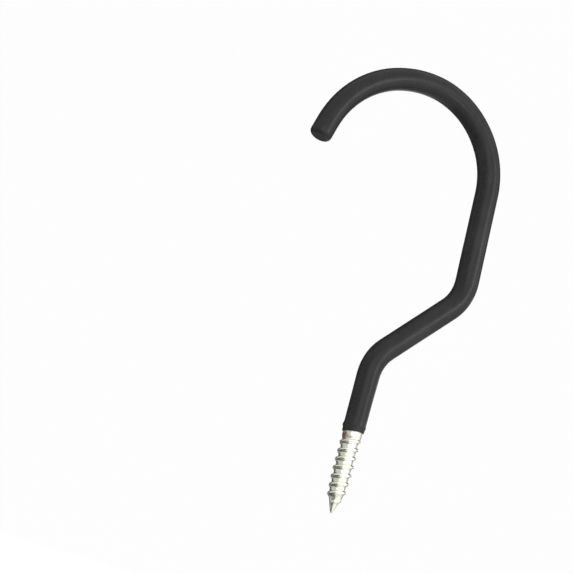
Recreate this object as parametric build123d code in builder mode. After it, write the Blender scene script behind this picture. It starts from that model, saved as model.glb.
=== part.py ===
"""Screw-in storage hook: one bent steel rod with a wood-screw thread, dipped in vinyl.

The frame is the hook in use under a beam. +Z runs up the screw to its point, and the hook
hangs below. The origin is on the screw's axis, where the vinyl coat ends and the bare steel
begins. The hook lies in the XZ plane: its stem is on the -X side and its tip on the +X side.
Lengths are in millimetres and angles in degrees.
"""

import os
from math import atan2, ceil, cos, degrees, radians

from build123d import *

# Bends of the rod, followed down from the coat's end. Runs are the straight lengths between
# bends, and radii are those of the centreline.
rod_diameter = 7.4
neck_run = 22.5
neck_bend_radius = 18.2
offset_angle = 41.8
offset_run = 33.2
elbow_bend_radius = 19.5
stem_angle = 2.0
stem_run = 37.3
bowl_radius = 33.8
bowl_angle = 91.0
lip_radius = 43.6
lip_angle = 73.5
lip_run = 5.4

# Bare steel above the coat
shank_length = 1.6
shank_cone_length = 2.2

# Rolled wood-screw thread, right-handed. It climbs to full height, loses height over its last
# turns and runs out on the shoulder of the gimlet point. Azimuth is counted from +X towards +Y.
thread_pitch = 3.3
thread_major_diameter = 7.8
thread_root_diameter = 6.1
thread_start_height = 1.85
thread_start_azimuth = 90.0
thread_lead_in_turns = 0.35
thread_full_turns = 3.85
thread_taper_turns = 2.65
thread_run_out_turns = 0.95
thread_last_major_diameter = 6.5
thread_last_root_diameter = 5.5

# Section of the ridge: the flank towards the coat carries the load and is the steeper one
crest_width = 0.5
load_flank_run = 0.55
lead_flank_run = 0.95
ridge_sink = 0.25

# Gimlet point
point_base_diameter = 3.2
point_length = 3.7
point_tip_diameter = 0.6

# Vinyl coat
coat_thickness = 0.9
coat_end_thickness = 0.5
coat_end_chamfer = 0.3
coat_cap_thickness = 1.0
coat_cap_round = 2.0

rod_radius = rod_diameter / 2
major_radius = thread_major_diameter / 2
root_radius = thread_root_diameter / 2
last_major_radius = thread_last_major_diameter / 2
last_root_radius = thread_last_root_diameter / 2
point_base_radius = point_base_diameter / 2
point_tip_radius = point_tip_diameter / 2
coat_radius = rod_radius + coat_thickness
coat_end_radius = rod_radius + coat_end_thickness

# Places along the thread in turns, and up the screw in height above the coat's end
lead_in_end = thread_lead_in_turns
full_end = lead_in_end + thread_full_turns
taper_end = full_end + thread_taper_turns
run_out_end = taper_end + thread_run_out_turns
taper_start = thread_start_height + thread_pitch * full_end
shoulder_start = thread_start_height + thread_pitch * taper_end
point_base = thread_start_height + thread_pitch * run_out_end
point_tip = point_base + point_length


def hook_line(last_run):
    """Centreline from the foot of the neck: offset, stem, bowl and lip, each tangent to the next."""
    with BuildLine(Plane.XZ) as line:
        neck_bend = JernArc((0, -neck_run), (0, -1), neck_bend_radius, -offset_angle)
        offset_leg = Line(neck_bend @ 1, neck_bend @ 1 + offset_run * (neck_bend % 1))
        elbow = JernArc(offset_leg @ 1, offset_leg % 1, elbow_bend_radius, offset_angle + stem_angle)
        stem = Line(elbow @ 1, elbow @ 1 + stem_run * (elbow % 1))
        bowl = JernArc(stem @ 1, stem % 1, bowl_radius, bowl_angle)
        lip = JernArc(bowl @ 1, bowl % 1, lip_radius, lip_angle)
        Line(lip @ 1, lip @ 1 + last_run * (lip % 1))
    return line.line


def thread_helix(turns, radii, heights, azimuth):
    """An edge that winds up about the screw's axis from one radius and height to another."""
    rise = heights[1] - heights[0]
    cone_angle = degrees(atan2(radii[1] - radii[0], rise))
    pitch_on_cone = rise / (turns * cos(radians(cone_angle)))
    helix = Edge.make_helix(pitch_on_cone, rise, radii[0], (0, 0, heights[0]), angle=cone_angle)
    return helix.rotate(Axis.Z, azimuth)


def ridge_piece(turns, base_radii, crest_radii):
    """A piece of the thread's ridge between two places along it, given in turns from its start.

    Its four edges are helices, its flanks, crest and base are the ruled faces between them, and
    its two ends are flat.
    """
    azimuth = thread_start_azimuth + 360 * turns[0]
    section = [
        (base_radii, -crest_width / 2 - load_flank_run),
        (crest_radii, -crest_width / 2),
        (crest_radii, crest_width / 2),
        (base_radii, crest_width / 2 + lead_flank_run),
    ]
    edges = []
    for radii, offset_up in section:
        heights = [thread_start_height + thread_pitch * turn + offset_up for turn in turns]
        edges.append(thread_helix(turns[1] - turns[0], radii, heights, azimuth))
    sides = [Face.make_surface_from_curves(edges[i - 1], edges[i]) for i in range(len(edges))]
    ends = [Face(Wire.make_polygon([edge @ place for edge in edges])) for place in (0, 1)]
    return Solid(Shell(sides + ends))


def between(values, share):
    """The value that lies a given share of the way from the first of two to the second."""
    return values[0] + (values[1] - values[0]) * share


def ridge_pieces(stations):
    """The whole ridge through its stations (turn, base radius, crest radius), turn by turn."""
    pieces = []
    for first, last in zip(stations, stations[1:]):
        turns, base_radii, crest_radii = zip(first, last)
        count = ceil(turns[1] - turns[0])
        for step in range(count):
            shares = (step / count, (step + 1) / count)
            piece = [[between(pair, share) for share in shares] for pair in (turns, base_radii, crest_radii)]
            pieces.append(ridge_piece(*piece))
    return pieces


# The rod under the coat: straight neck and bent hook, cut off square at the hook's tip
with BuildPart() as coated_rod:
    with BuildSketch(Plane.XY.offset(-neck_run)) as rod_section:
        Circle(rod_radius)
    extrude(rod_section.sketch, amount=neck_run)
    sweep(rod_section.sketch, path=hook_line(lip_run))

# The same rod with its bare end: shank, threaded core and point are turned about the screw's
# axis, and the ridge is laid on them a turn at a time.
with BuildPart() as threaded_rod:
    add(coated_rod.part)
    with BuildSketch(Plane.XZ):
        with BuildLine():
            Polyline(
                (0, 0),
                (rod_radius, 0),
                (rod_radius, shank_length),
                (root_radius, shank_length + shank_cone_length),
                (root_radius, taper_start),
                (last_root_radius, shoulder_start),
                (point_base_radius, point_base),
                (point_tip_radius, point_tip),
                (0, point_tip),
                close=True,
            )
        make_face()
    revolve(axis=Axis.Z)
    add(
        ridge_pieces(
            [
                (0, root_radius - ridge_sink, root_radius),
                (lead_in_end, root_radius - ridge_sink, major_radius),
                (full_end, root_radius - ridge_sink, major_radius),
                (taper_end, point_base_radius + ridge_sink, last_major_radius),
                (run_out_end, point_base_radius - 2 * ridge_sink, point_base_radius - ridge_sink),
            ]
        )
    )

# The coat is thin where it ends on the neck and has its full thickness by the first bend. It
# closes over the rod's cut end with a soft edge.
with BuildPart() as vinyl_sleeve:
    with BuildSketch(Plane.XZ):
        with BuildLine():
            Polyline(
                (0, -neck_run),
                (coat_radius, -neck_run),
                (coat_end_radius, -coat_end_chamfer),
                (coat_end_radius - coat_end_chamfer, 0),
                (0, 0),
                close=True,
            )
        make_face()
    revolve(axis=Axis.Z)
    coat_line = hook_line(lip_run + coat_cap_thickness)
    with BuildSketch(Plane.XY.offset(-neck_run)):
        Circle(coat_radius)
    sweep(path=coat_line)
    fillet(vinyl_sleeve.faces().sort_by_distance(coat_line @ 1)[0].edges(), coat_cap_round)
    add(coated_rod.part, mode=Mode.SUBTRACT)

threaded_rod.part.label = "threaded_rod"
vinyl_sleeve.part.label = "vinyl_sleeve"

os.makedirs("parts", exist_ok=True)
export_step(threaded_rod.part, "parts/threaded_rod.step")
export_step(vinyl_sleeve.part, "parts/vinyl_sleeve.step")
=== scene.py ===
# %% [markdown]
# # A screw-in storage hook
#
# The real hook is one steel rod. Its end is rolled into a wood-screw thread and plated with zinc,
# the rod is bent cold, and then all of it below the thread is dipped in liquid vinyl and baked.
# So there are two things to model: the steel, and the vinyl skin that hides most of it.
#
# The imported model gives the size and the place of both, and everything here is in its frame: +Z
# runs up the screw, and the origin is on its axis where the vinyl ends. Blender works in metres.
# Small lengths are easier to read in millimetres, so they are written so and multiplied by MM.

import math

import bpy
from mathutils import Matrix, Vector


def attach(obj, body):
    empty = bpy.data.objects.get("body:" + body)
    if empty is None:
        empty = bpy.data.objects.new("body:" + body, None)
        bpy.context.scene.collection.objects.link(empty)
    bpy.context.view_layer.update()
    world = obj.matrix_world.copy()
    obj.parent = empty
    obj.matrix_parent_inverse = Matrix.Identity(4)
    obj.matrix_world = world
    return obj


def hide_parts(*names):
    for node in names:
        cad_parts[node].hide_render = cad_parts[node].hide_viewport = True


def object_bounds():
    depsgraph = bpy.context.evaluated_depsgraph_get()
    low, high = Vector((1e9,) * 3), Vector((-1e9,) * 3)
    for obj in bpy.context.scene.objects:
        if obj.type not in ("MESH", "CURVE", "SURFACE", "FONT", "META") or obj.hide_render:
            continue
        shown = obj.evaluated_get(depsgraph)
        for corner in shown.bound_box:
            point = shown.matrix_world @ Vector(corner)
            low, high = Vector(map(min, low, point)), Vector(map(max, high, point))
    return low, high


MM = 0.001


def in_mm(vector, digits=2):
    """A place or a size in rounded millimetres, to print."""
    return [round(value / MM, digits) for value in vector]


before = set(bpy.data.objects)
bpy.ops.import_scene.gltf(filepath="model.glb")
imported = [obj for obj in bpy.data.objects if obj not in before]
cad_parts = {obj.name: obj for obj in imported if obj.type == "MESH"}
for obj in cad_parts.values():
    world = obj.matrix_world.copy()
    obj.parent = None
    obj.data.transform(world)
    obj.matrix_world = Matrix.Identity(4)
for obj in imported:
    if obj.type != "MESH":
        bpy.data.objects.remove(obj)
cad_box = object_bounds()
bpy.ops.object.select_all(action="DESELECT")
print("nodes:", sorted(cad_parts))
print("size of the packed model in mm:", in_mm(cad_box[1] - cad_box[0], 1))

# %% [markdown]
# ## Camera
#
# The picture to match shows the hook upside down, with its screw at the bottom, so the camera is
# rolled over. It stands half a metre away with a lens of about 85 mm, which is what a product
# photographer would use for a thing this small. A camera looks along its own -Z axis with +Y up,
# so three directions are enough to write how it is turned.

# %% Place the camera
CAMERA_PLACE = Vector((0.23201, -0.45005, 0.08234))
CAMERA_FORWARD = Vector((-0.3759, 0.8928, -0.2484)).normalized()
CAMERA_UP = Vector((0.3502, -0.1114, -0.9300))
CAMERA_LENS = 85.263  # mm
SENSOR_WIDTH = 36  # mm
CLIP_RANGE = (0.01, 100)  # m


def turned_to(right, up, back):
    """The rotation of an object whose own X, Y and Z axes point in these directions."""
    return Matrix((right, up, back)).transposed().to_euler()


camera_right = CAMERA_FORWARD.cross(CAMERA_UP).normalized()
camera_up = camera_right.cross(CAMERA_FORWARD)
camera_turn = turned_to(camera_right, camera_up, -CAMERA_FORWARD)

bpy.ops.object.camera_add(location=CAMERA_PLACE, rotation=camera_turn)
camera = bpy.context.object
camera.data.lens = CAMERA_LENS
camera.data.sensor_width = SENSOR_WIDTH
camera.data.clip_start, camera.data.clip_end = CLIP_RANGE
bpy.context.scene.camera = camera
print("half a metre before the camera, in mm:", in_mm(CAMERA_PLACE + 0.5 * CAMERA_FORWARD, 0))

# %% [markdown]
# ## The line of the hook
#
# Rod and skin follow one line: down the neck, out sideways, back into the upright stem, round the
# bowl and up to the tip. A bender would write it as straight lengths and bends, and so does this
# list. A bend has a radius and an angle, which is positive where the line turns left as seen from
# the front, with +X to the right and +Z up.

# %% The hook's runs, in millimetres and degrees
ROD_RADIUS = 3.7
NECK_RUN = 22.5
RUNS_AFTER_NECK = [
    ("bend", 18.2, -41.8),
    ("straight", 33.2),
    ("bend", 19.5, 43.8),
    ("straight", 37.3),
    ("bend", 33.8, 91.0),
    ("bend", 43.6, 73.5),
    ("straight", 5.4),
]


def run_length(run):
    """Length of a straight or a bend along its middle, in mm."""
    return run[1] if run[0] == "straight" else run[1] * math.radians(abs(run[2]))


HOOK_LENGTH = NECK_RUN + sum(run_length(run) for run in RUNS_AFTER_NECK)
print("length of the rod under the skin:", round(HOOK_LENGTH, 1), "mm")

# %% [markdown]
# ## Growing a tube
#
# A tube can be grown from one ring of points. Extrude carries the ring along a straight, and Spin
# carries it round a bend about the bend's own centre. After each step the new ring is the one that
# is selected, so scaling it there sets how thick the tube is at that place. That last step is why
# the ring is carried in many short steps, and not by one spin for a whole bend: a dipped skin has
# no constant thickness.

# %% Helpers that carry the selected ring along the hook
RING_STEP = 2.0  # mm, the longest step
DOWN = Vector((0, 0, -1))


def ring_steps(run):
    """How many steps a run takes."""
    return math.ceil(run_length(run) / RING_STEP)


def scale_ring(place, factor):
    """Scales the selected ring about its own middle."""
    bpy.ops.transform.resize(value=(factor,) * 3, center_override=place)


def carry_once(run, place, heading, parts=1, spin_steps=1):
    """Carries the selected ring through one of the equal parts of a run.

    Its middle is at place, in metres, and it moves along heading. Gives back both as they then are.
    """
    if run[0] == "straight":
        move = heading * (run_length(run) / parts) * MM
        bpy.ops.mesh.extrude_region_move(TRANSFORM_OT_translate={"value": move})
        return place + move, heading
    angle = math.radians(run[2]) / parts
    left = Vector((-heading.z, 0, heading.x))
    centre = place + left * math.copysign(run[1] * MM, angle)
    bpy.ops.mesh.spin(steps=spin_steps, angle=angle, center=centre, axis=(0, 1, 0))
    turn = Matrix.Rotation(-angle, 3, "Y")
    return centre + turn @ (place - centre), turn @ heading


def carry_ring(runs, place, travelled, radius_at):
    """Grows a tube whose radius depends on how far it has travelled, which is in mm."""
    heading = DOWN
    radius = radius_at(travelled)
    for run in runs:
        steps = ring_steps(run)
        for _ in range(steps):
            place, heading = carry_once(run, place, heading, parts=steps)
            travelled += run_length(run) / steps
            new_radius = radius_at(travelled)
            scale_ring(place, new_radius / radius)
            radius = new_radius
    return place, heading, radius


print("steps round the bowl's first bend:", ring_steps(RUNS_AFTER_NECK[4]))

# %% [markdown]
# ## The vinyl skin
#
# Plastisol is a thick liquid. The hot rod is lowered in tip first, so the skin ends in a thin lip
# on the neck, with a slight bead behind it where the liquid stood, and is thickest round the
# elbow and the stem, where it ran while it set. The table below gives the outer radius at seven
# places, evenly spaced from the lip to the tip.
#
# The ring starts at the inner edge of the lip, goes over it, and then follows the hook.

# %% Grow the outside of the skin from its lip
SKIN_SIDES = 72
SKIN_RADII = [4.24, 4.58, 4.69, 4.68, 4.62, 4.49, 4.41]
LIP_PROFILE = [  # distance from the end of the skin and outer radius, in mm
    (0.02, 3.86),
    (0.08, 3.98),
    (0.20, 4.07),
    (0.40, 4.13),
    (0.75, 4.17),
    (1.20, 4.20),
    (1.65, 4.26),
    (2.00, 4.35),
    (2.30, 4.41),
    (2.60, 4.40),
    (2.95, 4.32),
    (3.40, 4.27),
    (4.00, 4.25),
    (5.00, 4.27),
]


def skin_radius(travelled):
    """Outer radius of the skin, eased between the places of the table."""
    place = min(travelled / HOOK_LENGTH, 1.0) * (len(SKIN_RADII) - 1)
    before = min(int(place), len(SKIN_RADII) - 2)
    share = place - before
    eased = share * share * (3 - 2 * share)
    return SKIN_RADII[before] + (SKIN_RADII[before + 1] - SKIN_RADII[before]) * eased


bpy.ops.mesh.primitive_circle_add(vertices=SKIN_SIDES, radius=ROD_RADIUS * MM, location=(0, 0, 0))
skin = bpy.context.object
skin.name = skin.data.name = "vinyl_skin"
bpy.ops.object.mode_set(mode="EDIT")
bpy.ops.mesh.select_mode(type="VERT")
bpy.ops.mesh.select_all(action="SELECT")

ring_depth, ring_radius = 0.0, ROD_RADIUS
for depth, radius in LIP_PROFILE:
    drop = (0, 0, (ring_depth - depth) * MM)
    bpy.ops.mesh.extrude_region_move(TRANSFORM_OT_translate={"value": drop})
    scale_ring(Vector((0, 0, -depth * MM)), radius / ring_radius)
    ring_depth, ring_radius = depth, radius
lip_end = Vector((0, 0, -ring_depth * MM))
scale_ring(lip_end, skin_radius(ring_depth) / ring_radius)

rest_of_neck = [("straight", NECK_RUN - ring_depth)]
skin_end, skin_heading, end_radius = carry_ring(
    rest_of_neck + RUNS_AFTER_NECK, lip_end, ring_depth, skin_radius
)
print("the skin's last ring is at", in_mm(skin_end), "mm, with radius", round(end_radius, 2))

# %% [markdown]
# The skin closes over the cut end of the rod with a soft rim. Here the ring shrinks as it goes on,
# along a quarter of a circle, and the flat that is left is filled, inset and drawn to one point in
# the middle, so that there is no open hole. All that is there so far is the skin's outside, so its
# points go into a vertex group of that name, for later. The first ring stays out of the group: the
# inside starts from it too.

# %% Close the skin over the tip
CAP_THICKNESS = 1.6
CAP_ROUND = 1.7
ROUND_STEPS = 7
TIP_INSETS = 2
TIP_INSET = 0.8  # mm, width of each
LEVEL_SLACK = 0.005  # mm, how far off level a point of a level ring may be

cap_start = CAP_THICKNESS - CAP_ROUND
bpy.ops.transform.translate(value=skin_heading * cap_start * MM)
place = skin_end + skin_heading * cap_start * MM
radius = end_radius
for step in range(1, ROUND_STEPS + 1):
    angles = [math.radians(90 * k / ROUND_STEPS) for k in (step - 1, step)]
    advance = CAP_ROUND * (math.sin(angles[1]) - math.sin(angles[0])) * MM
    new_radius = end_radius - CAP_ROUND * (1 - math.cos(angles[1]))
    bpy.ops.mesh.extrude_region_move(TRANSFORM_OT_translate={"value": skin_heading * advance})
    place = place + skin_heading * advance
    scale_ring(place, new_radius / radius)
    radius = new_radius

bpy.ops.mesh.edge_face_add()
for _ in range(TIP_INSETS):
    bpy.ops.mesh.inset(thickness=TIP_INSET * MM)
bpy.ops.mesh.select_mode(type="VERT")
bpy.ops.mesh.poke()
bpy.ops.object.mode_set(mode="OBJECT")

below_lip = [point.index for point in skin.data.vertices if point.co.z < -LEVEL_SLACK * MM]
outside = skin.vertex_groups.new(name="outside")
outside.add(below_lip, 1.0, "REPLACE")
print("points of the skin's outside:", len(below_lip))

# %% [markdown]
# The inside of the skin lies on the rod. The same first ring is carried down once more at the
# rod's own radius, as far as the cut end, which makes the skin a closed wall like the real one. A
# tube of constant thickness needs one extrude for a straight and one spin for a bend. At the end,
# points that lie on one another are merged and all faces are turned outwards.

# %% Grow the inside of the skin
DOUBLES_DISTANCE = 1e-7  # m, points that are nearer to one another than this are one point


def carry_plain_ring(runs, place):
    """Grows a tube of constant thickness from the selected ring, which heads down."""
    heading = DOWN
    for run in runs:
        place, heading = carry_once(run, place, heading, spin_steps=ring_steps(run))
    return place


def select_level(height):
    """Selects the points at one height, in mm, and says how many there are."""
    bpy.ops.mesh.select_all(action="DESELECT")
    bpy.ops.object.mode_set(mode="OBJECT")
    found = 0
    for point in bpy.context.object.data.vertices:
        point.select = abs(point.co.z / MM - height) < LEVEL_SLACK
        found += point.select
    bpy.ops.object.mode_set(mode="EDIT")
    return found


def finish_shell():
    """Merges doubles, turns all faces outwards and leaves edit mode."""
    bpy.ops.mesh.select_all(action="SELECT")
    bpy.ops.mesh.remove_doubles(threshold=DOUBLES_DISTANCE)
    bpy.ops.mesh.normals_make_consistent(inside=False)
    bpy.ops.object.mode_set(mode="OBJECT")


bpy.ops.object.mode_set(mode="EDIT")
found = select_level(0.0)
bore_end = carry_plain_ring([("straight", NECK_RUN)] + RUNS_AFTER_NECK, Vector((0, 0, 0)))
bpy.ops.mesh.edge_face_add()
bpy.ops.mesh.poke()
finish_shell()
print("started from", found, "points; the bore ends at", in_mm(bore_end), "mm")

# %% [markdown]
# The hook goes into the vinyl at a slight slant and the liquid clings unevenly, so the lip isn't
# a true circle: it reaches a little further up the screw on one side, and wavers, and the bead is
# heavier on that side. The points near it are shifted along the axis, and those of the bead
# outwards, by how far round they are.

# %% Make the lip uneven
LIP_SLANT = 0.43  # mm, how far the lip is off level on its highest side
LIP_SLANT_AZIMUTH = 26.8  # where it is highest, counted from +X towards +Y
LIP_WAVES = [(2, 0.10, 0.6), (5, 0.05, 2.0)]  # waves round the lip, their height in mm and phase
LIP_FADE = 6.0  # mm, how far down the neck the points are shifted
BEAD_PLACE = 2.4  # mm, from the lip to the bead's middle
BEAD_REACH = 0.8  # mm, from the bead's middle to its ends
BEAD_LEAN = 0.14  # mm, how much thicker the bead is on the high side of the lip
OUTSIDE_FROM = ROD_RADIUS + 0.1  # mm, points further out than this aren't on the bore


def heights(piece):
    """Heights of a piece's points, in mm."""
    return [point.co.z / MM for point in piece.data.vertices]


for point in skin.data.vertices:
    depth = -point.co.z / MM
    if depth < LIP_FADE:
        azimuth = math.atan2(point.co.y, point.co.x) - math.radians(LIP_SLANT_AZIMUTH)
        radius = math.hypot(point.co.x, point.co.y) / MM
        if radius > OUTSIDE_FROM:
            bead = max(0.0, 1 - ((depth - BEAD_PLACE) / BEAD_REACH) ** 2)
            thicker = 1 + BEAD_LEAN * bead * (1 + math.cos(azimuth)) / 2 / radius
            point.co.x *= thicker
            point.co.y *= thicker
        waver = sum(high * math.cos(count * azimuth + phase) for count, high, phase in LIP_WAVES)
        fade = (1 - depth / LIP_FADE) ** 2
        point.co.z += (LIP_SLANT * math.cos(azimuth) + waver) * fade * MM
skin.data.update()
print("the lip's highest point:", round(max(heights(skin)), 2), "mm")

# %% [markdown]
# Dipped vinyl also has slow, hardly visible swells. A Displace modifier with a cloud texture
# pushes the outside in and out by a few hundredths of a millimetre, which is enough to make the
# long reflections waver. The inside isn't in the modifier's vertex group, so it stays on the rod.

# %% Give the skin its swells
SWELL = 0.09  # mm
SWELL_SIZE = 9.0  # mm

clouds = bpy.data.textures.new("swells", type="CLOUDS")
clouds.noise_scale = SWELL_SIZE * MM
bpy.ops.object.modifier_add(type="DISPLACE")
swells = skin.modifiers[-1]
swells.texture = clouds
swells.texture_coords = "LOCAL"
swells.vertex_group = outside.name
swells.strength = SWELL * MM
bpy.ops.object.modifier_apply(modifier=swells.name)
bpy.data.textures.remove(clouds)
print("faces of the skin:", len(skin.data.polygons))

# %% [markdown]
# ## The steel
#
# A wood-screw thread is one ridge wound round a core. One turn of it, cut open along the axis, is
# a short line: flat root, steep flank on the side that carries the load, rounded crest, longer
# hollow flank towards the point, and flat root again. The line starts as one point, which is
# extruded from place to place like a pen. It is drawn upside down, for the next step.

# %% Draw one pitch of the thread as a line of points
THREAD_PITCH = 3.3
THREAD_CREST_RADIUS = 3.9
THREAD_ROOT_RADIUS = 3.05
CREST_AT_AZIMUTH_0 = 1.025  # height of a crest above the origin, plus any number of pitches
THREAD_SECTION = [  # distance along the axis from the crest, and share of the ridge's height
    (-1.65, 0.0),
    (-1.35, 0.0),
    (-1.12, 0.0),
    (-0.95, 0.02),
    (-0.82, 0.09),
    (-0.68, 0.28),
    (-0.54, 0.56),
    (-0.42, 0.79),
    (-0.30, 0.93),
    (-0.15, 0.99),
    (0.0, 1.0),
    (0.15, 0.99),
    (0.30, 0.94),
    (0.44, 0.81),
    (0.60, 0.59),
    (0.78, 0.36),
    (0.98, 0.18),
    (1.20, 0.06),
    (1.42, 0.01),
    (1.65, 0.0),
]
first_crest = CREST_AT_AZIMUTH_0 - THREAD_PITCH


def section_point(along, share):
    """A point of the thread's section on the +X side, upside down, in metres."""
    radius = THREAD_ROOT_RADIUS + share * (THREAD_CREST_RADIUS - THREAD_ROOT_RADIUS)
    return Vector((radius, 0, -first_crest - along)) * MM


bpy.ops.object.select_all(action="DESELECT")
bpy.ops.mesh.primitive_plane_add(size=MM, location=(0, 0, 0))
steel = bpy.context.object
steel.name = steel.data.name = "steel_rod"
bpy.ops.object.mode_set(mode="EDIT")
bpy.ops.mesh.select_mode(type="VERT")
bpy.ops.mesh.select_all(action="SELECT")
bpy.ops.mesh.merge(type="CENTER")

pen = section_point(*THREAD_SECTION[0])
bpy.ops.transform.translate(value=pen)
for along, share in THREAD_SECTION[1:]:
    move = section_point(along, share) - pen
    bpy.ops.mesh.extrude_vertices_move(TRANSFORM_OT_translate={"value": move})
    pen += move
print("points of the line:", len(THREAD_SECTION))

# %% [markdown]
# Blender's Screw winds such a line round the axis and shifts it by its own length each turn, so
# the pitch is simply how long the line is. It winds downwards and to the left. So the sheet that
# it makes is then mirrored upright, which also makes it right-handed, as wood screws are.

# %% Wind the line into a thread
THREAD_STEPS = 96  # per turn
THREAD_TURNS = 10
SEAM_DISTANCE = 1e-6  # m, how far apart the points may be where one turn meets the next

bpy.ops.mesh.select_all(action="SELECT")
bpy.ops.mesh.screw(steps=THREAD_STEPS, turns=THREAD_TURNS, center=(0, 0, 0), axis=(0, 0, 1))
bpy.ops.mesh.select_all(action="SELECT")
bpy.ops.transform.resize(value=(1, 1, -1), center_override=(0, 0, 0))
bpy.ops.mesh.remove_doubles(threshold=SEAM_DISTANCE)
bpy.ops.object.mode_set(mode="OBJECT")
thread_heights = heights(steel)
print("the thread has", len(thread_heights), "points")
print("from", round(min(thread_heights), 2), "to", round(max(thread_heights), 2), "mm")

# %% [markdown]
# The wound sheet starts and ends on a slant. Bisect cuts it level at both ends: where the plain
# shank begins, and where the gimlet point begins. Some of the new points along a cut fall almost
# on old ones, so the cut, which is still selected, is thinned out with Merge by Distance.

# %% Cut the thread level at both ends
SHANK_TOP = 1.6
POINT_BASE = 28.0
CUT_SPACING = 0.04  # mm, the least distance between two points of a cut

bpy.ops.object.mode_set(mode="EDIT")
for height, cleared in ((SHANK_TOP, "clear_inner"), (POINT_BASE, "clear_outer")):
    plane = {"plane_co": (0, 0, height * MM), "plane_no": (0, 0, 1)}
    bpy.ops.mesh.select_all(action="SELECT")
    bpy.ops.mesh.bisect(**plane, threshold=LEVEL_SLACK * MM, **{cleared: True})
    bpy.ops.mesh.remove_doubles(threshold=CUT_SPACING * MM)
bpy.ops.object.mode_set(mode="OBJECT")
thread_heights = heights(steel)
print("now from", round(min(thread_heights), 2), "to", round(max(thread_heights), 2), "mm")

# %% [markdown]
# A rolled thread isn't the same all along. It climbs out of the cone of the shank in a third of a
# turn, keeps its height for four turns, gets lower as the core tapers, and runs out on the
# shoulder of the point. No tool scales a ridge by how far round it has wound, so this is done
# point by point: each one keeps its share of the ridge's height, and only the height changes.

# %% Taper the core and the ridge
CORE = [  # height and radius of the core, in mm
    (1.6, 3.70),
    (1.9, 3.67),
    (2.6, 3.44),
    (3.4, 3.15),
    (3.8, 3.07),
    (4.2, 3.05),
    (15.2, 3.05),
    (16.2, 3.03),
    (23.8, 2.78),
    (24.4, 2.72),
    (25.0, 2.54),
    (28.0, 1.47),
]
CREST = [  # turns from the thread's start and radius of its crest, in mm
    (0.0, 3.0),
    (0.10, 3.50),
    (0.22, 3.78),
    (0.38, 3.90),
    (4.2, 3.90),
    (6.2, 3.50),
    (6.85, 3.28),
    (7.4, 2.50),
    (7.8, 1.50),
]
THREAD_START = 1.85  # height of the crest where the thread starts, at azimuth 90


def follow(table, place):
    """Value of a table of (place, value) at any place, on straight lines between its rows."""
    if place <= table[0][0]:
        return table[0][1]
    for (a, value_a), (b, value_b) in zip(table, table[1:]):
        if place <= b:
            return value_a + (value_b - value_a) * (place - a) / (b - a)
    return table[-1][1]


for point in steel.data.vertices:
    height, radius = point.co.z / MM, math.hypot(point.co.x, point.co.y) / MM
    share = (radius - THREAD_ROOT_RADIUS) / (THREAD_CREST_RADIUS - THREAD_ROOT_RADIUS)
    crest = CREST_AT_AZIMUTH_0 + THREAD_PITCH * math.atan2(point.co.y, point.co.x) / math.tau
    crest += THREAD_PITCH * round((height - crest) / THREAD_PITCH)
    turns = (crest - THREAD_START) / THREAD_PITCH
    core = follow(CORE, height)
    ridge = max(0.0, follow(CREST, turns) - core) if turns > 0 else 0.0
    wanted = core + ridge * min(max(share, 0.0), 1.0)
    point.co.x *= wanted / radius
    point.co.y *= wanted / radius
steel.data.update()
full_height = (THREAD_CREST_RADIUS - 0.01) * MM
crest_heights = {round(v.co.z / MM, 1) for v in steel.data.vertices if v.co.x > full_height}
print("highest crests on the +X side at", sorted(crest_heights), "mm")

# %% [markdown]
# The level rings at the two ends are extruded in their turn. The lower one is the rod itself,
# which goes down inside the skin and is cut off square. The upper one is drawn in, ring by ring,
# to a slender point, and its last ring is merged into a single tip.

# %% Grow the rod under the skin and draw out the point
POINT_PROFILE = [  # height and radius, in mm
    (28.6, 1.27),
    (29.2, 1.07),
    (29.8, 0.86),
    (30.3, 0.66),
    (30.75, 0.44),
    (31.08, 0.22),
    (31.27, 0.10),
]

bpy.ops.object.mode_set(mode="EDIT")
select_level(SHANK_TOP)
shank_and_neck = [("straight", SHANK_TOP + NECK_RUN)]
rod_end = carry_plain_ring(shank_and_neck + RUNS_AFTER_NECK, Vector((0, 0, SHANK_TOP * MM)))
bpy.ops.mesh.edge_face_add()
bpy.ops.mesh.poke()

select_level(POINT_BASE)
height, radius = POINT_BASE, CORE[-1][1]
for new_height, new_radius in POINT_PROFILE:
    rise = (0, 0, (new_height - height) * MM)
    bpy.ops.mesh.extrude_region_move(TRANSFORM_OT_translate={"value": rise})
    scale_ring(Vector((0, 0, new_height * MM)), new_radius / radius)
    height, radius = new_height, new_radius
bpy.ops.mesh.merge(type="CENTER")
finish_shell()
print("the rod's cut end is at", in_mm(rod_end), "mm")
print("faces of the steel:", len(steel.data.polygons))

# %% [markdown]
# ## Smooth shading
#
# Both pieces are round all over, so their faces are shaded smooth. The few real edges, such as the
# rim where the rod is cut off, are sharper than 40 degrees and stay crisp.

# %% Shade smooth
SHARP_FROM = 40  # degrees

for piece in (skin, steel):
    bpy.ops.object.select_all(action="DESELECT")
    piece.select_set(True)
    bpy.context.view_layer.objects.active = piece
    bpy.ops.object.shade_smooth_by_angle(angle=math.radians(SHARP_FROM))
    print(piece.name, "has", sum(edge.use_edge_sharp for edge in piece.data.edges), "sharp edges")

# %% [markdown]
# ## Building a finish from nodes
#
# A finish is a Principled shader with a few nodes in front of it. Each helper adds one node and
# gives back its output, so that a finish reads from top to bottom like a recipe. The first three
# give a new material, the place on the piece, and a noise there. Patterns read Object
# coordinates, in metres, so they are the same size on every piece and stay on it.

# %% Helpers for a material and its patterns
def new_material(name):
    """A material with its node tree, and the Principled shader that is in it from the start."""
    material = bpy.data.materials.new(name)
    material.use_nodes = True
    return material, material.node_tree, material.node_tree.nodes["Principled BSDF"]


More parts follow.
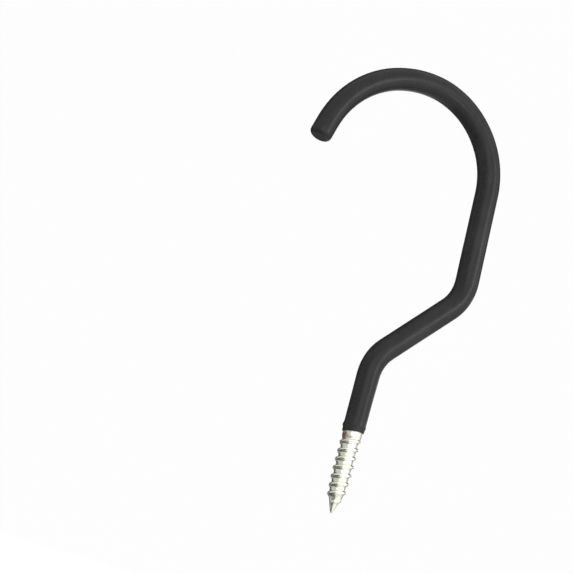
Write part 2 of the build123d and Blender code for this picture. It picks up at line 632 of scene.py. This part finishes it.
def place_in_object(tree, squeeze=(1, 1, 1)):
    """Object coordinates, with a pattern squeezed along an axis where its number is above 1."""
    place = tree.nodes.new("ShaderNodeTexCoord").outputs["Object"]
    if squeeze == (1, 1, 1):
        return place
    mapping = tree.nodes.new("ShaderNodeMapping")
    mapping.inputs["Scale"].default_value = squeeze
    tree.links.new(place, mapping.inputs["Vector"])
    return mapping.outputs["Vector"]


def speckle(tree, place, scale, detail=2.0):
    """A noise value from 0 to 1 in spots of about 1 / scale metres."""
    noise = tree.nodes.new("ShaderNodeTexNoise")
    noise.inputs["Scale"].default_value = scale
    noise.inputs["Detail"].default_value = detail
    tree.links.new(place, noise.inputs["Vector"])
    return noise.outputs["Fac"]


print("materials of the packed model:", len(bpy.data.materials))

# %% [markdown]
# A noise has to be turned into something: a share, a height or a roughness. Map Range picks a part
# of its range and spreads it over another, with soft ends, and Math adds and multiplies.

# %% Helpers that calculate with values
def spread(tree, value, from_range, to_range):
    """Maps a value from one range smoothly onto another, and keeps it inside that one."""
    node = tree.nodes.new("ShaderNodeMapRange")
    node.interpolation_type = "SMOOTHSTEP"
    numbers = dict(zip(("From Min", "From Max", "To Min", "To Max"), from_range + to_range))
    for name, number in numbers.items():
        node.inputs[name].default_value = number
    tree.links.new(value, node.inputs["Value"])
    return node.outputs["Result"]


def calculate(tree, operation, first, second):
    """A Math node. The second value is a number or a socket."""
    node = tree.nodes.new("ShaderNodeMath")
    node.operation = operation
    tree.links.new(first, node.inputs[0])
    if isinstance(second, (int, float)):
        node.inputs[1].default_value = second
    else:
        tree.links.new(second, node.inputs[1])
    return node.outputs["Value"]


def weighted_sum(tree, first, first_weight, second, second_weight):
    """The sum of two values, each times its weight."""
    products = [
        calculate(tree, "MULTIPLY", value, weight)
        for value, weight in ((first, first_weight), (second, second_weight))
    ]
    return calculate(tree, "ADD", *products)


# %% [markdown]
# Two more helpers bring values to the surface. One blends two colours. The other makes a bump,
# which changes how the surface takes the light and leaves its outline alone.

# %% Helpers for colours and bumps
def blend_colours(tree, share, first, second):
    """A mix of two colours. Either is a tuple or a socket."""
    node = tree.nodes.new("ShaderNodeMix")
    node.data_type = "RGBA"
    tree.links.new(share, node.inputs[0])
    for socket, colour in ((node.inputs[6], first), (node.inputs[7], second)):
        if isinstance(colour, tuple):
            socket.default_value = (*colour, 1)
        else:
            tree.links.new(colour, socket)
    return node.outputs[2]


def add_bump(tree, shader, value, strength, distance):
    """Lets a value push the surface in and out, before any bump that the shader already has."""
    bump = tree.nodes.new("ShaderNodeBump")
    bump.inputs["Strength"].default_value = strength
    bump.inputs["Distance"].default_value = distance * MM
    tree.links.new(value, bump.inputs["Height"])
    for link in shader.inputs["Normal"].links:
        tree.links.new(link.from_socket, bump.inputs["Normal"])
    tree.links.new(bump.outputs["Normal"], shader.inputs["Normal"])


# %% [markdown]
# ## Vinyl
#
# Dipped vinyl is nearly black and has a soft gloss. It is never quite even: the colour clouds a
# little over a centimetre or so, it dried in faint runs along the rod, the skin has the fine
# pebbling of orange peel, and specks of dust sit in it. All of that comes from noise textures. A
# scale of 900 gives spots of about a millimetre. The gloss is low, and a number that is the same
# all over, such as the specular level, is set on the shader itself.

# %% The vinyl
VINYL_DARK = (0.0255, 0.0255, 0.0263)
VINYL_LIGHT = (0.0325, 0.0325, 0.0327)
DUST = (0.075, 0.074, 0.070)
VINYL_SPECULAR = 0.15
VINYL_ROUGHNESS = (0.25, 0.32)
SOFT_CONTRAST = (0.3, 0.7)  # the part of a noise's range that is spread over the roughness
CLOUD_SCALE, RUN_SCALE, PEBBLE_SCALE, GRAIN_SCALE = 90, 700, 900, 4500  # spots per metre
CLOUD_SHARE, RUN_SHARE = 0.6, 0.4
CLOUD_CONTRAST = (0.38, 0.62)  # all dark up to the first, and all light from the second
DUST_FROM = (0.70, 0.78)  # where in the grain's range dust begins and is full
DUST_SHARE = 0.5
ALONG_Z = (1, 1, 0.1)  # stretches a pattern tenfold
VINYL_BUMP = 0.08
GRAIN_DEPTH, PEBBLE_DEPTH, RUN_DEPTH = 0.01, 0.05, 0.05  # mm

vinyl, tree, shader = new_material("dipped_vinyl")
shader.inputs["Specular IOR Level"].default_value = VINYL_SPECULAR
here = place_in_object(tree)
clouding = speckle(tree, here, CLOUD_SCALE, 3.0)
runs = speckle(tree, place_in_object(tree, ALONG_Z), RUN_SCALE)
pebbles = speckle(tree, here, PEBBLE_SCALE)
grain = speckle(tree, here, GRAIN_SCALE)

clouds_and_runs = weighted_sum(tree, clouding, CLOUD_SHARE, runs, RUN_SHARE)
mottle = spread(tree, clouds_and_runs, CLOUD_CONTRAST, (0.0, 1.0))
colour = blend_colours(tree, mottle, VINYL_DARK, VINYL_LIGHT)
colour = blend_colours(tree, spread(tree, grain, DUST_FROM, (0.0, DUST_SHARE)), colour, DUST)
tree.links.new(colour, shader.inputs["Base Color"])
gloss = spread(tree, pebbles, SOFT_CONTRAST, VINYL_ROUGHNESS)
tree.links.new(gloss, shader.inputs["Roughness"])
add_bump(tree, shader, grain, VINYL_BUMP, GRAIN_DEPTH)
add_bump(tree, shader, pebbles, VINYL_BUMP, PEBBLE_DEPTH)
add_bump(tree, shader, runs, VINYL_BUMP, RUN_DEPTH)
skin.data.materials.append(vinyl)
print("vinyl nodes:", len(tree.nodes))

# %% [markdown]
# ## Zinc plate and primer
#
# Bright zinc is a metal with a thin clear passivation on it, which tints it greenish yellow. The
# roots of the thread are darker: partly a deeper tint where the bath stood, and partly painted
# shade. Rolling leaves marks round the axis, so their noise is squeezed along Z. Next to the coat
# the steel shows some of the reddish primer that makes vinyl stick. To say where, the finish
# needs four measures at each point of the surface: the height, the distance from the axis, how
# far round it is towards the stained side, and the height above the slanting lip. They are worked
# out from the Object coordinates first.

# %% The zinc's noises and measures
BATH_SCALE, ROLLING_SCALE, CRYSTAL_SCALE, FLECK_SCALE = 260, 1500, 3500, 1100  # spots per metre
ROUND_THE_AXIS = (0.25, 0.25, 2.5)  # draws a pattern out across Z
STAIN_SIDE = math.radians(LIP_SLANT_AZIMUTH)
RAGGED = 1.2  # mm, how far the bath's noise shifts the primer's borders
FLAKED = 1.6  # mm, how far the flecks shift them

zinc, tree, shader = new_material("zinc_plate")
here = place_in_object(tree)
bath = speckle(tree, here, BATH_SCALE, 3.0)
rolling = speckle(tree, place_in_object(tree, ROUND_THE_AXIS), ROLLING_SCALE)
crystals = speckle(tree, here, CRYSTAL_SCALE)
flecks = speckle(tree, here, FLECK_SCALE, 4.0)

axes = tree.nodes.new("ShaderNodeSeparateXYZ")
tree.links.new(here, axes.inputs["Vector"])
x, y, height = (axes.outputs[axis] for axis in ("X", "Y", "Z"))
x_squared = calculate(tree, "MULTIPLY", x, x)
y_squared = calculate(tree, "MULTIPLY", y, y)
radius = calculate(tree, "POWER", calculate(tree, "ADD", x_squared, y_squared), 0.5)
x_weight = math.cos(STAIN_SIDE) / (ROD_RADIUS * MM)
y_weight = math.sin(STAIN_SIDE) / (ROD_RADIUS * MM)
side = weighted_sum(tree, x, x_weight, y, y_weight)
lip_height = calculate(tree, "MULTIPLY", side, LIP_SLANT * MM)
above_lip = calculate(tree, "SUBTRACT", height, lip_height)
ragged = calculate(tree, "MULTIPLY", bath, RAGGED * MM)
flaked = calculate(tree, "MULTIPLY", flecks, FLAKED * MM)
print("nodes so far:", len(tree.nodes))

# %% [markdown]
# The colours are laid on one after the other, as on the real hook: plate, a darker tint in the
# roots that is partly the bath's deeper tint and partly painted shade, a thin dark line all round
# next to the lip that is partly primer and partly the lip's painted shadow, a haze of primer over
# the shank, and a wide stain on one side, whose borders are ragged and whose paint is worn. The
# noises are added to a height before it is compared with a border, so the borders lie 0.6 to 1.4
# mm further up in these numbers than on the hook.

# %% The colours of plate and primer
ZINC_BRIGHT = (0.95, 0.96, 0.87)
ZINC_YELLOW = (0.87, 0.88, 0.74)
# Darker in the thread's roots: partly the passivation's deeper tint and partly painted shade
ROOT_TINT_AND_SHADE = (0.74, 0.75, 0.60)
PRIMER = (0.17, 0.085, 0.055)
PRIMER_WORN = (0.25, 0.14, 0.10)
# The dark line next to the lip: partly primer and partly the lip's painted shadow
PRIMER_AND_LIP_SHADOW = (0.22, 0.13, 0.09)
PRIMER_THIN = (0.66, 0.52, 0.42)
ROOT_TINT_AND_SHADE_SHARE, LINE_AND_SHADOW_SHARE, HAZE_SHARE, STAIN_SHARE = 0.55, 0.95, 0.20, 0.98
GAP_SHARE = 0.15  # what is left of the stain next to the lip

# Where each of them ends: it is full at one value and gone at the other
ROOT_BORDER = (THREAD_ROOT_RADIUS * MM, 3.35 * MM)  # distance from the axis
LINE_BORDER = (0.70 * MM, 1.00 * MM)  # above the lip, with the bath's noise
HAZE_BORDER = (4.7 * MM, 5.9 * MM)  # height, with both noises
GAP_BORDER = (1.7 * MM, 2.3 * MM)  # above the lip, with both noises
STAIN_BORDER = (0.96, 1.34)  # how far round towards the stained side, with the flecks added
FLECKS_ON_BORDER = 1.2  # how much of the flecks is added there
ZINC_CONTRAST = (0.35, 0.65)
WORN_CONTRAST = (0.42, 0.66)

yellowed = spread(tree, bath, ZINC_CONTRAST, (0.0, 1.0))
colour = blend_colours(tree, yellowed, ZINC_BRIGHT, ZINC_YELLOW)
# Painted shade: the roots of the thread are darkened, partly as a deeper tint and partly as shade
root_tint_and_shade = spread(tree, radius, ROOT_BORDER, (ROOT_TINT_AND_SHADE_SHARE, 0.0))
colour = blend_colours(tree, root_tint_and_shade, colour, ROOT_TINT_AND_SHADE)

from_lip = calculate(tree, "ADD", above_lip, ragged)
# Painted shadow: the dark line all round next to the lip is partly primer and partly the lip's
# shadow
line = spread(tree, from_lip, LINE_BORDER, (LINE_AND_SHADOW_SHARE, 0.0))
colour = blend_colours(tree, line, colour, PRIMER_AND_LIP_SHADOW)

up_the_shank = calculate(tree, "ADD", calculate(tree, "ADD", height, ragged), flaked)
low = spread(tree, up_the_shank, HAZE_BORDER, (1.0, 0.0))
colour = blend_colours(tree, calculate(tree, "MULTIPLY", low, HAZE_SHARE), colour, PRIMER_THIN)

flecked = calculate(tree, "MULTIPLY", flecks, FLECKS_ON_BORDER)
on_side = spread(tree, calculate(tree, "ADD", side, flecked), STAIN_BORDER, (0.0, STAIN_SHARE))
past_gap = spread(tree, calculate(tree, "ADD", from_lip, flaked), GAP_BORDER, (GAP_SHARE, 1.0))
stain = calculate(tree, "MULTIPLY", calculate(tree, "MULTIPLY", low, on_side), past_gap)
worn = spread(tree, flecks, WORN_CONTRAST, (0.0, 1.0))
stain_colour = blend_colours(tree, worn, PRIMER, PRIMER_WORN)
colour = blend_colours(tree, stain, colour, stain_colour)
tree.links.new(colour, shader.inputs["Base Color"])
print("nodes so far:", len(tree.nodes))

# %% [markdown]
# Primer is paint, so the metal stops being metallic under it and gets a little duller. The bare
# plate has fine crystals, which make its gloss uneven, and the marks of rolling.

# %% The gloss and the bumps of the steel
ZINC_ROUGHNESS = (0.24, 0.36)
PAINT_ROUGHNESS = 0.2  # what primer adds to it
PAINT_METALLIC = 0.25  # what primer leaves of the metal
CRYSTAL_BUMP, ROLLING_BUMP = 0.20, 0.35
CRYSTAL_DEPTH, ROLLING_DEPTH = 0.01, 0.03  # mm

paint = calculate(tree, "MAXIMUM", stain, line)
metallic = spread(tree, paint, (0.0, 1.0), (1.0, PAINT_METALLIC))
tree.links.new(metallic, shader.inputs["Metallic"])
roughness = spread(tree, crystals, SOFT_CONTRAST, ZINC_ROUGHNESS)
duller = calculate(tree, "MULTIPLY", paint, PAINT_ROUGHNESS)
tree.links.new(calculate(tree, "ADD", roughness, duller), shader.inputs["Roughness"])
add_bump(tree, shader, crystals, CRYSTAL_BUMP, CRYSTAL_DEPTH)
add_bump(tree, shader, rolling, ROLLING_BUMP, ROLLING_DEPTH)
steel.data.materials.append(zinc)
print("zinc nodes:", len(tree.nodes))

# %% [markdown]
# ## Floor and room
#
# The hook floats over a white sweep, as it would hang in front of white paper. To stay white
# without more lamps, floor and room glow for the rays that come from the camera, and for those
# that a shiny surface reflects, but not for those that light the hook. A strength of 1 is white.
# The floor glows less than fully, so a shadow could still fall on it. The Standard view transform
# shows colours as they are written.

# %% The floor and the room
FLOOR_SIZE = 40
FLOOR_HEIGHT = -0.38
FLOOR_WHITE = 0.95
FLOOR_GLOW = 0.97
ROOM_LIGHT = 0.52
MATT = 0.9  # roughness of paper and card


def matt_paint(name, grey):
    """A material of one plain grey without gloss, with its node tree and shader."""
    paint, tree, shader = new_material(name)
    shader.inputs["Base Color"].default_value = (grey, grey, grey, 1)
    shader.inputs["Roughness"].default_value = MATT
    return paint, tree, shader


def seen_ray(tree):
    """1 for rays from the camera, reflected ones and those through glass, and 0 for others."""
    path = tree.nodes.new("ShaderNodeLightPath")
    camera_ray, glossy_ray = path.outputs["Is Camera Ray"], path.outputs["Is Glossy Ray"]
    seen = calculate(tree, "MAXIMUM", camera_ray, glossy_ray)
    return calculate(tree, "MAXIMUM", seen, path.outputs["Is Transmission Ray"])


bpy.ops.object.select_all(action="DESELECT")
bpy.ops.mesh.primitive_plane_add(size=FLOOR_SIZE, location=(0, 0, FLOOR_HEIGHT))
floor = bpy.context.object
floor.name = "floor"
paper, tree, shader = matt_paint("white_paper", FLOOR_WHITE)
glow = tree.nodes.new("ShaderNodeEmission")
mix = tree.nodes.new("ShaderNodeMixShader")
tree.links.new(calculate(tree, "MULTIPLY", seen_ray(tree), FLOOR_GLOW), mix.inputs["Fac"])
tree.links.new(shader.outputs["BSDF"], mix.inputs[1])
tree.links.new(glow.outputs["Emission"], mix.inputs[2])
tree.links.new(mix.outputs["Shader"], tree.nodes["Material Output"].inputs["Surface"])
floor.data.materials.append(paper)

room = bpy.data.worlds.new("white_room")
bpy.context.scene.world = room
room.use_nodes = True
tree = room.node_tree
background = tree.nodes["Background"]
background.inputs["Color"].default_value = (1, 1, 1, 1)
room_strength = spread(tree, seen_ray(tree), (0.0, 1.0), (ROOM_LIGHT, 1.0))
tree.links.new(room_strength, background.inputs["Strength"])
bpy.context.scene.view_settings.view_transform = "Standard"
print("floor at", FLOOR_HEIGHT, "m, room light", ROOM_LIGHT)

# %% [markdown]
# ## Lamps
#
# A glossy tube draws each lamp as a streak along itself, so the streaks on the real hook tell
# where its lamps stood. A tall narrow one at the left gives the sharp streak, and a broad one
# round it the soft edge. A dim one near the camera gives the second, wider streak, and a small
# bright one above it the thin glints on the bends and along the outer side. Each lamp is an area
# light that faces the hook, and its power follows from how bright its face should look: a face
# of 1 is as bright as white paper.

# %% The lamps
MIDDLE = (cad_box[0] + cad_box[1]) / 2
LAMP_DISTANCE = 0.65


def towards(azimuth, elevation):
    """A direction from the hook: azimuth 0 is the front, -Y, and 90 is +X. Angles in degrees."""
    azimuth, elevation = math.radians(azimuth), math.radians(elevation)
    level = math.cos(elevation)
    return Vector((math.sin(azimuth) * level, -math.cos(azimuth) * level, math.sin(elevation)))


def softbox(name, azimuth, elevation, width_angle, height_angle, brightness):
    """An area lamp that faces the hook and fills the given angles as seen from it."""
    away = towards(azimuth, elevation)
    right = Vector((0, 0, 1)).cross(away).normalized()
    place = MIDDLE + away * LAMP_DISTANCE
    turn = turned_to(right, away.cross(right), away)
    bpy.ops.object.light_add(type="AREA", location=place, rotation=turn)
    lamp = bpy.context.object
    lamp.name = name
    lamp.data.shape = "RECTANGLE"
    angles = (width_angle, height_angle)
    width, height = (2 * LAMP_DISTANCE * math.tan(math.radians(angle / 2)) for angle in angles)
    lamp.data.size, lamp.data.size_y = width, height
    lamp.data.energy = brightness * math.pi * width * height
    print(name, round(width, 2), "by", round(height, 2), "m,", round(lamp.data.energy, 2), "W")


softbox("side_box", -37, 0, 50, 56, 0.9)
softbox("side_strip", -37, -14.5, 10, 25, 5.3)
softbox("front_box", 20, -10, 44, 34, 1.3)
softbox("top_box", -10, 16, 9, 10, 7.0)

# %% [markdown]
# ## Cards
#
# In an all white room a black tube has no dark rim, and metal has no dark edge that shows its
# shape. A product photographer puts up cards for that, and they are here only for reflections:
# camera, shadows and soft light don't see them. A card is a part of a sphere round the hook: the
# sphere is added whole, and the faces that aren't wanted are selected by their place and deleted.

# %% Helpers for cards
CARD_DISTANCE = 0.6
SPHERE_SEGMENTS, SPHERE_RINGS = 72, 36  # faces 5 degrees wide and high


def finish_card(name, grey):
    """Names the active object, colours it, and hides it from all but reflections."""
    card = bpy.context.object
    card.name = name
    card.visible_camera = card.visible_shadow = card.visible_diffuse = False
    card.data.materials.append(matt_paint(name, grey)[0])
    print(name, "has", len(card.data.polygons), "faces")


def curved_card(name, azimuths, elevations, grey, distance=CARD_DISTANCE):
    """A card on a sphere round the hook, between two azimuths and two elevations in degrees."""
    bpy.ops.object.select_all(action="DESELECT")
    bpy.ops.mesh.primitive_uv_sphere_add(
        segments=SPHERE_SEGMENTS, ring_count=SPHERE_RINGS, radius=distance, location=MIDDLE
    )
    bpy.ops.object.mode_set(mode="EDIT")
    bpy.ops.mesh.select_mode(type="FACE")
    bpy.ops.mesh.select_all(action="DESELECT")
    bpy.ops.object.mode_set(mode="OBJECT")
    for face in bpy.context.object.data.polygons:
        azimuth = math.degrees(math.atan2(face.center.x, -face.center.y)) % 360
        elevation = math.degrees(math.asin(face.center.z / face.center.length))
        across = azimuths[0] < azimuth < azimuths[1]
        upright = elevations[0] < elevation < elevations[1]
        face.select = not (across and upright)
    bpy.ops.object.mode_set(mode="EDIT")
    bpy.ops.mesh.delete(type="FACE")
    bpy.ops.object.mode_set(mode="OBJECT")
    finish_card(name, grey)


print("a face of the sphere is", 360 / SPHERE_SEGMENTS, "degrees wide")

# %% [markdown]
# A dark card stands behind at the left of the picture, a pale one next to it, a dark one is
# overhead, and a grey one behind at the right. Under that is a dark one, so near to the hook that
# the screw above it hardly mirrors it. The last card is flat and lies on the floor behind.

# %% Put up the cards
NEAR_CARD_DISTANCE = 0.25
FLOOR_CARD_SIZE = 0.8
FLOOR_CARD_AZIMUTH = 195
FLOOR_CARD_START = 0.05  # m, from below the hook to the card's edge
FLOOR_CARD_LIFT = 0.01  # m, above the floor

curved_card("dark_card", (130, 205), (-30, 25), 0.12)
curved_card("grey_card", (40, 130), (-30, 20), 0.90)
curved_card("top_card", (25, 190), (28, 90), 0.14)
curved_card("right_card", (232, 272), (-5, 40), 0.50)
curved_card("near_card", (225, 270), (-40, -8), 0.10, NEAR_CARD_DISTANCE)

behind = towards(FLOOR_CARD_AZIMUTH, 0) * (FLOOR_CARD_SIZE / 2 + FLOOR_CARD_START)
bpy.ops.mesh.primitive_plane_add(
    size=FLOOR_CARD_SIZE,
    location=(behind.x, behind.y, FLOOR_HEIGHT + FLOOR_CARD_LIFT),
    rotation=(0, 0, math.radians(FLOOR_CARD_AZIMUTH - 180)),
)
finish_card("floor_card", 0.15)

# %% [markdown]
# ## Hand over
#
# Each piece takes the place of its solid in the imported model, and moves with the one body there
# is.

# %% Tie the pieces to the imported model
for piece, node, slot in (
    (skin, "vinyl_sleeve", "black_vinyl"),
    (steel, "threaded_rod", "zinc_steel"),
):
    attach(piece, "root")
    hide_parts(node)
